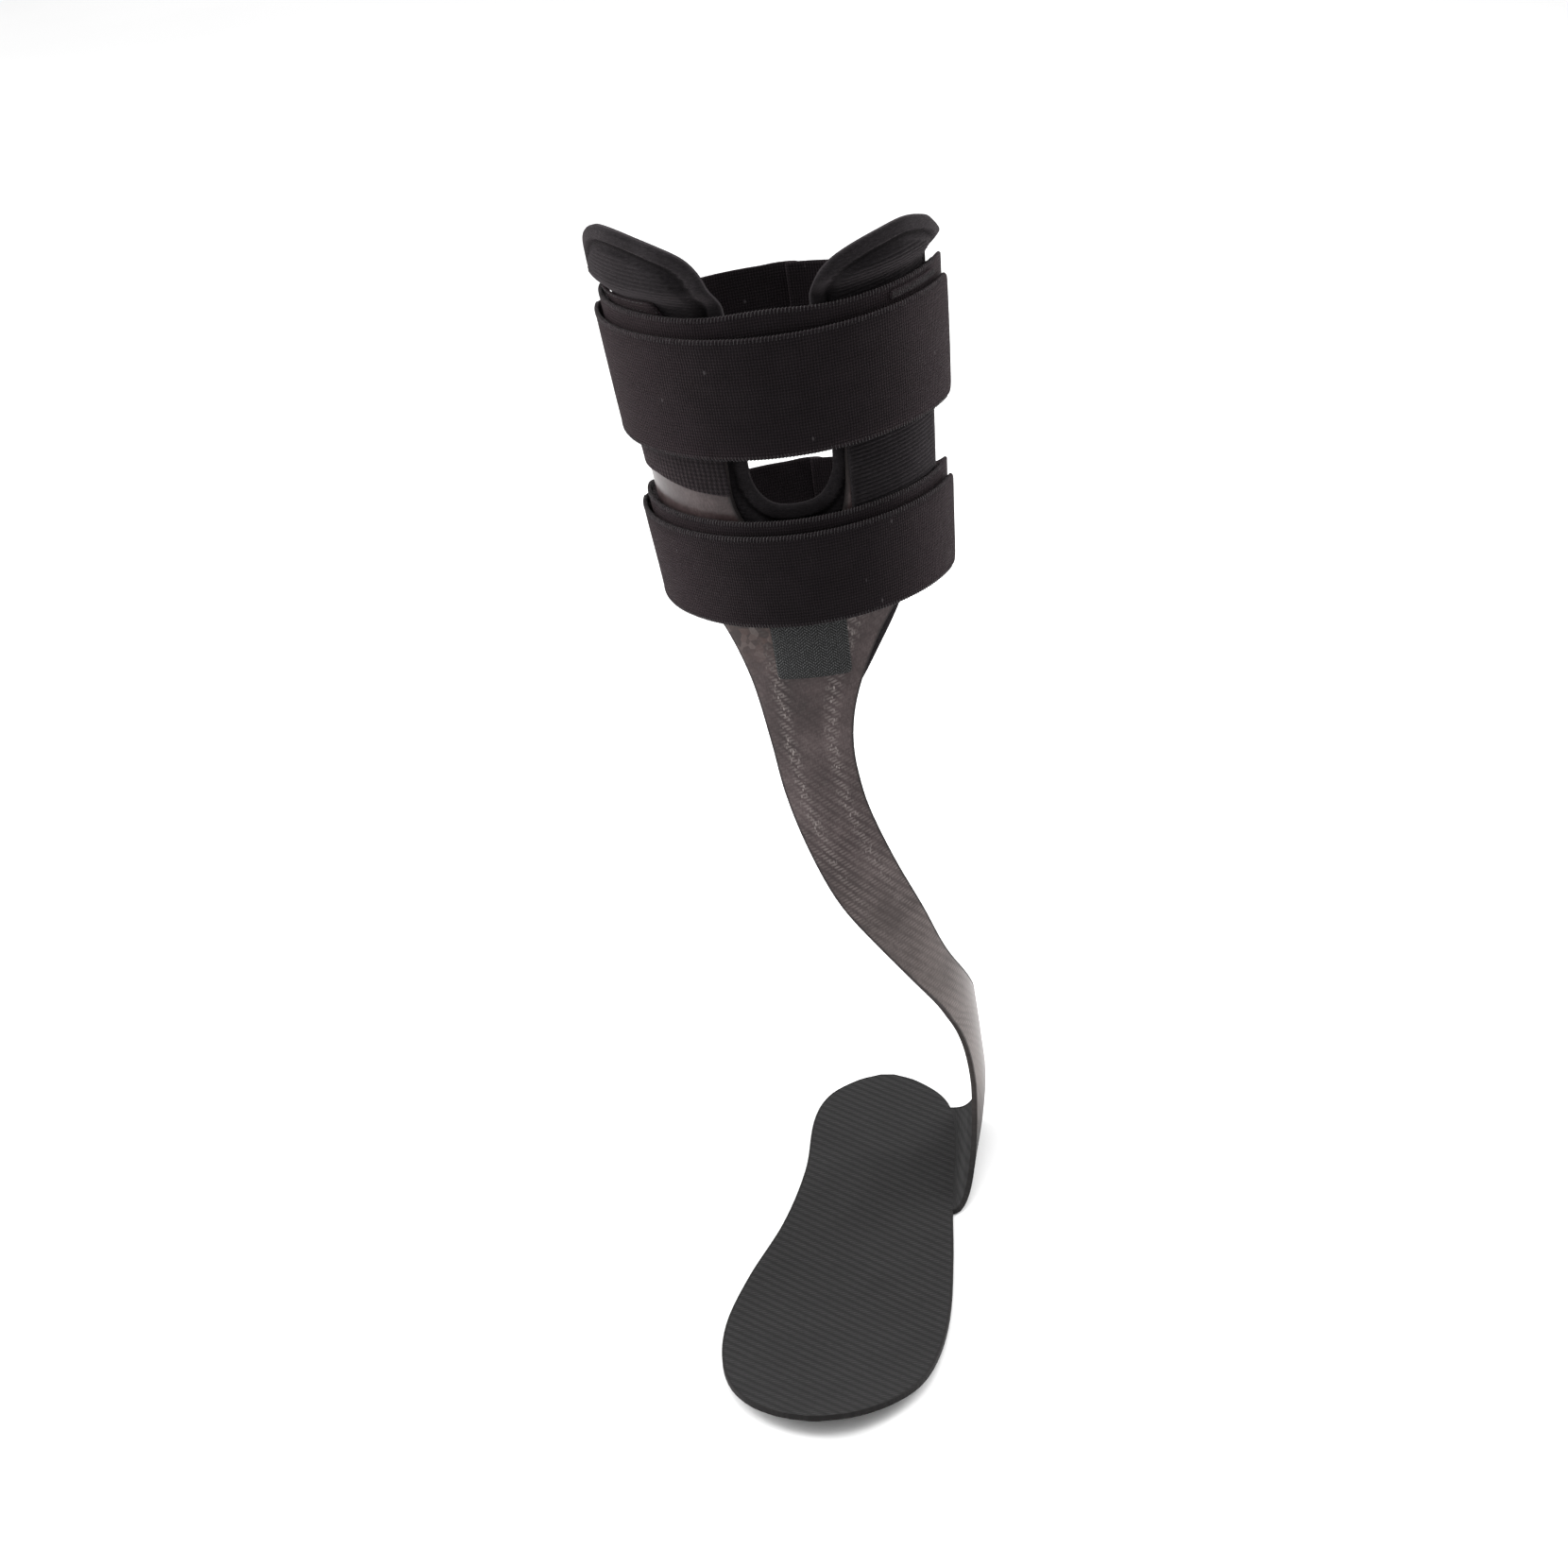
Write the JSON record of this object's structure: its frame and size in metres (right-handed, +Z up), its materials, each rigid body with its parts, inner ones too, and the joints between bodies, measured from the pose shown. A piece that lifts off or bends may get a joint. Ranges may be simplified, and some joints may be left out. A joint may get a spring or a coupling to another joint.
{
  "type": "ankle foot orthosis",
  "caption": "Carbon ankle foot orthosis with a sprung foot plate, a strut crossing to the outside of the ankle, a notched shin shell, a padded liner and wound elastic straps.",
  "frame": {"origin": "on the level underside of the foot plate, under the axis of the shin", "axes": "+Z up the shin, -Y towards the toes, +X towards the outside of a left leg"},
  "size_m": [0.1356, 0.2731, 0.4103],
  "materials": {
    "carbon_weave": "satin clear resin over a twill of black carbon fibre",
    "liner_textile": "ribbed matt textile over foam",
    "strap_knit": "matt knitted elastic",
    "hook_tape": "matt moulded hook tape",
    "loop_fleece": "napped loop fabric"
  },
  "bodies": {
    "foot": {"foot_plate": "carbon_weave"},
    "shin": {"shin_shell": "carbon_weave", "liner_pad": "liner_textile", "rib_panel_lateral": "liner_textile", "loop_panel_medial": "loop_fleece", "neck_hook_patch": "hook_tape", "liner_hook_medial": "hook_tape", "liner_hook_lateral": "hook_tape", "liner_hook_lower": "hook_tape", "stitched_tab_medial": "strap_knit", "stitched_tab_lateral": "strap_knit", "upper_strap_inner": "strap_knit", "lower_strap_inner": "strap_knit"},
    "upper_rear": {"upper_strap_rear": "strap_knit"},
    "upper_flap": {"upper_strap_flap": "strap_knit", "upper_strap_hook": "hook_tape"},
    "lower_rear": {"lower_strap_rear": "strap_knit"},
    "lower_flap": {"lower_strap_flap": "strap_knit", "lower_strap_hook": "hook_tape"}
  },
  "joints": [
    {"name": "ankle_flex", "type": "hinge", "parent": "foot", "child": "shin", "pos_m": [0.04, 0.003, 0.085], "axis": [1, 0, 0], "range_deg": [-5, 12], "stiffness_Nm_per_rad": 60},
    {"name": "upper_strap_swing", "type": "hinge", "parent": "shin", "child": "upper_rear", "pos_m": [0.04869, 0.01274, 0.35758], "axis": [-0.024, -0.0084, -0.9997], "range_deg": [0, 60]},
    {"name": "upper_strap_peel", "type": "hinge", "parent": "upper_rear", "child": "upper_flap", "pos_m": [-0.0791, 0.01272, 0.34887], "axis": [0.133, -0.0084, -0.9911], "range_deg": [0, 120]},
    {"name": "lower_strap_swing", "type": "hinge", "parent": "shin", "child": "lower_rear", "pos_m": [0.04634, 0.01211, 0.28293], "axis": [-0.0338, -0.0084, -0.9994], "range_deg": [0, 60]},
    {"name": "lower_strap_peel", "type": "hinge", "parent": "lower_rear", "child": "lower_flap", "pos_m": [-0.06872, 0.0121, 0.27541], "axis": [0.1419, -0.0084, -0.9898], "range_deg": [0, 120]}
  ],
  "couplings": [
    {"joint": "upper_strap_peel", "follows": "upper_strap_swing", "ratio": 2},
    {"joint": "lower_strap_peel", "follows": "lower_strap_swing", "ratio": 2}
  ]
}
